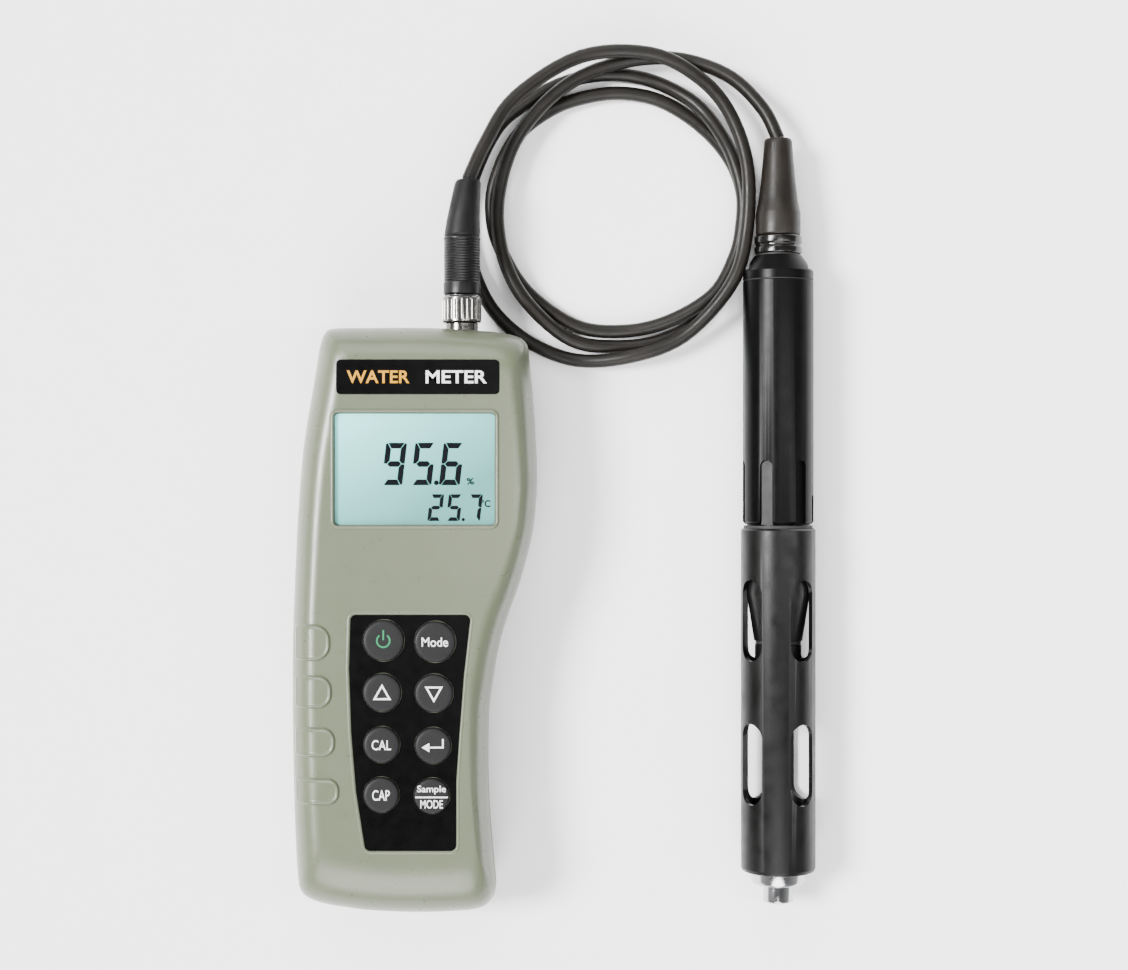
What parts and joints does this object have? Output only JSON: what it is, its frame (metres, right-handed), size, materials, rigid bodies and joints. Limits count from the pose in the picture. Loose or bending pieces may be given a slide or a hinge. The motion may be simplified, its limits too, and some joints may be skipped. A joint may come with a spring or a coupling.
{
  "type": "water quality meter with probe",
  "caption": "Hand-held water quality meter with display, keypad and screw connector, joined by a looped cable to a cylindrical optical probe in a slotted guard.",
  "frame": {"origin": "bottom centre of the bounding box of everything but the cable, on the table", "axes": "+X from the meter to the probe, +Y from the keypad up to the display and connector, +Z away from the table"},
  "size_m": [0.1674, 0.2784, 0.0366],
  "materials": {
    "case_front": "satin grey-green moulding",
    "case_back": "satin grey-green moulding",
    "seal_rubber": "matt black rubber",
    "window_clear": "polished clear",
    "display_glass": "pale cyan display",
    "white_plastic": "moulded white",
    "elastomer": "layered contact rubber",
    "plate_black": "printed gloss black",
    "key_grey": "satin dark grey",
    "bright_metal": "nickel or stainless",
    "board_green": "solder mask",
    "chip_black": "moulded epoxy",
    "tray_black": "moulded black",
    "cell_wrap": "printed sleeve",
    "silver_metal": "plated",
    "gold": "gold plated",
    "plug_black": "satin black",
    "insulator": "moulded insulator",
    "boot_rubber": "matt black",
    "cable_jacket": "satin dark brown-grey",
    "probe_boot_rubber": "satin brownish",
    "collar_gloss": "gloss",
    "body_gloss": "gloss black",
    "nose_black": "satin black",
    "optics": "epoxy lens",
    "optic_glass": "polished",
    "foil": "coated",
    "guard_black": "satin black",
    "weight_metal": "polished"
  },
  "bodies": {
    "instrument": {"front_housing": "case_front", "back_housing": "case_back", "housing_gasket": "seal_rubber", "display_window": "window_clear", "lcd_panel": "display_glass", "lcd_holder": "white_plastic", "zebra_strips": "elastomer", "nameplate": "plate_black", "keypad_panel": "plate_black", "snap_domes": "bright_metal", "main_board": "board_green", "board_components": "chip_black", "battery_tray": "tray_black", "batteries": "cell_wrap", "battery_contacts": "bright_metal", "housing_screws": "bright_metal", "receptacle": "silver_metal", "receptacle_pins": "gold", "receptacle_nut": "bright_metal", "receptacle_seal": "seal_rubber", "plug_barrel": "plug_black", "plug_insert": "insulator", "plug_boot": "boot_rubber", "cable": "cable_jacket", "probe_boot": "probe_boot_rubber", "probe_collar": "collar_gloss", "collar_seal": "seal_rubber", "probe_top_cap": "body_gloss", "body_seal": "seal_rubber", "probe_body": "body_gloss", "sensor_board": "board_green", "sensor_optics": "optics", "sensor_nose": "nose_black", "nose_seal": "seal_rubber", "optical_window": "optic_glass", "temperature_pin": "bright_metal"},
    "power_key_body": {"power_key": "key_grey"},
    "mode_key_body": {"mode_key": "key_grey"},
    "up_key_body": {"up_key": "key_grey"},
    "down_key_body": {"down_key": "key_grey"},
    "cal_key_body": {"cal_key": "key_grey"},
    "enter_key_body": {"enter_key": "key_grey"},
    "cap_key_body": {"cap_key": "key_grey"},
    "sample_key_body": {"sample_key": "key_grey"},
    "coupling_ring_body": {"coupling_ring": "silver_metal"},
    "battery_cover_body": {"battery_cover": "case_back", "battery_cover_gasket": "seal_rubber", "battery_cover_screws": "bright_metal"},
    "guard_seal_body": {"guard_seal": "seal_rubber"},
    "guard_body": {"guard": "guard_black", "guard_weight": "weight_metal"},
    "cap_seal_body": {"sensor_cap_seal": "seal_rubber"},
    "sensor_cap_body": {"sensor_cap": "nose_black", "sensing_foil": "foil"}
  },
  "joints": [
    {"name": "power_press", "type": "slide", "parent": "instrument", "child": "power_key_body", "axis": [0, 0, -1], "range_m": [0, 0.0006], "stiffness_N_per_m": 800},
    {"name": "mode_press", "type": "slide", "parent": "instrument", "child": "mode_key_body", "axis": [0, 0, -1], "range_m": [0, 0.0006], "stiffness_N_per_m": 800},
    {"name": "up_press", "type": "slide", "parent": "instrument", "child": "up_key_body", "axis": [0, 0, -1], "range_m": [0, 0.0006], "stiffness_N_per_m": 800},
    {"name": "down_press", "type": "slide", "parent": "instrument", "child": "down_key_body", "axis": [0, 0, -1], "range_m": [0, 0.0006], "stiffness_N_per_m": 800},
    {"name": "cal_press", "type": "slide", "parent": "instrument", "child": "cal_key_body", "axis": [0, 0, -1], "range_m": [0, 0.0006], "stiffness_N_per_m": 800},
    {"name": "enter_press", "type": "slide", "parent": "instrument", "child": "enter_key_body", "axis": [0, 0, -1], "range_m": [0, 0.0006], "stiffness_N_per_m": 800},
    {"name": "cap_press", "type": "slide", "parent": "instrument", "child": "cap_key_body", "axis": [0, 0, -1], "range_m": [0, 0.0006], "stiffness_N_per_m": 800},
    {"name": "sample_press", "type": "slide", "parent": "instrument", "child": "sample_key_body", "axis": [0, 0, -1], "range_m": [0, 0.0006], "stiffness_N_per_m": 800},
    {"name": "coupling_turn", "type": "hinge", "parent": "instrument", "child": "coupling_ring_body", "pos_m": [-0.03, 0.068, 0.018], "axis": [0, 1, 0], "continuous": true},
    {"name": "battery_cover_lift", "type": "slide", "parent": "instrument", "child": "battery_cover_body", "axis": [0, 0, -1], "range_m": [0, 0.02]},
    {"name": "guard_travel", "type": "slide", "parent": "instrument", "child": "guard_seal_body", "axis": [0, -1, 0], "range_m": [0, 0.009]},
    {"name": "guard_turn", "type": "hinge", "parent": "guard_seal_body", "child": "guard_body", "pos_m": [0.0717, -0.05, 0.012], "axis": [0, -1, 0], "range_deg": [0, 2160.01]},
    {"name": "sensor_cap_travel", "type": "slide", "parent": "instrument", "child": "cap_seal_body", "axis": [0, -1, 0], "range_m": [0, 0.0045]},
    {"name": "sensor_cap_turn", "type": "hinge", "parent": "cap_seal_body", "child": "sensor_cap_body", "pos_m": [0.0717, -0.041, 0.012], "axis": [0, -1, 0], "range_deg": [0, 2160.01]}
  ],
  "couplings": [
    {"joint": "guard_turn", "follows": "guard_travel", "rad_per_m": 4188.8},
    {"joint": "sensor_cap_turn", "follows": "sensor_cap_travel", "rad_per_m": 8377.6}
  ]
}
